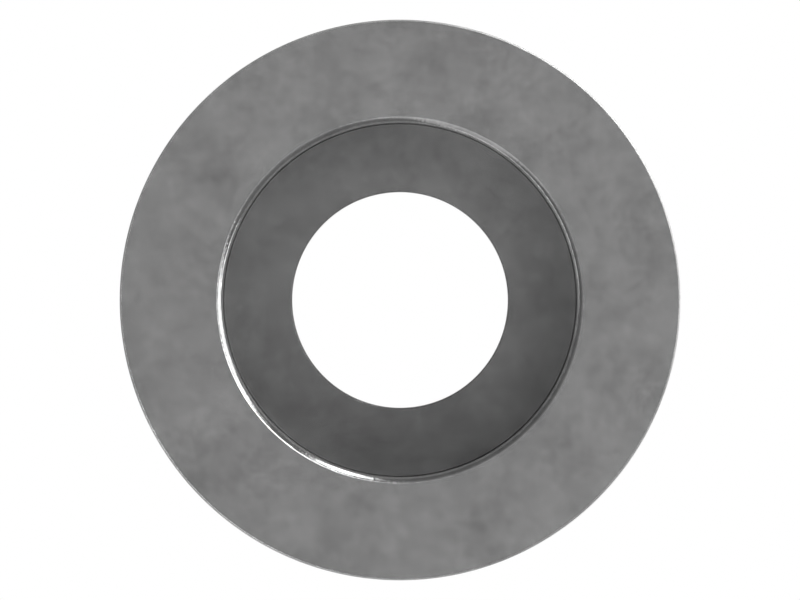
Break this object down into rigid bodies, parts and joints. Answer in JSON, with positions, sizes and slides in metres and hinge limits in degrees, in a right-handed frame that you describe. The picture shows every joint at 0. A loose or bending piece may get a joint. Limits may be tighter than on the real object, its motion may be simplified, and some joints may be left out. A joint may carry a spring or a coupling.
{
  "type": "flanged bushing",
  "caption": "Turned steel flanged bushing: a plain sleeve under a wide flange, with a round-mouthed recess for a bolt's head and a clear bore through its floor.",
  "frame": {"origin": "centre of the sleeve's end face, on the bushing's axis", "axes": "+Z along the axis, from the sleeve's end towards the flange's face"},
  "size_m": [0.035, 0.035, 0.02],
  "materials": {
    "steel": "satin, turned and tumbled, with a faint cloudy grain and brighter edges"
  },
  "bodies": {
    "root": {"bushing": "steel"}
  },
  "joints": []
}
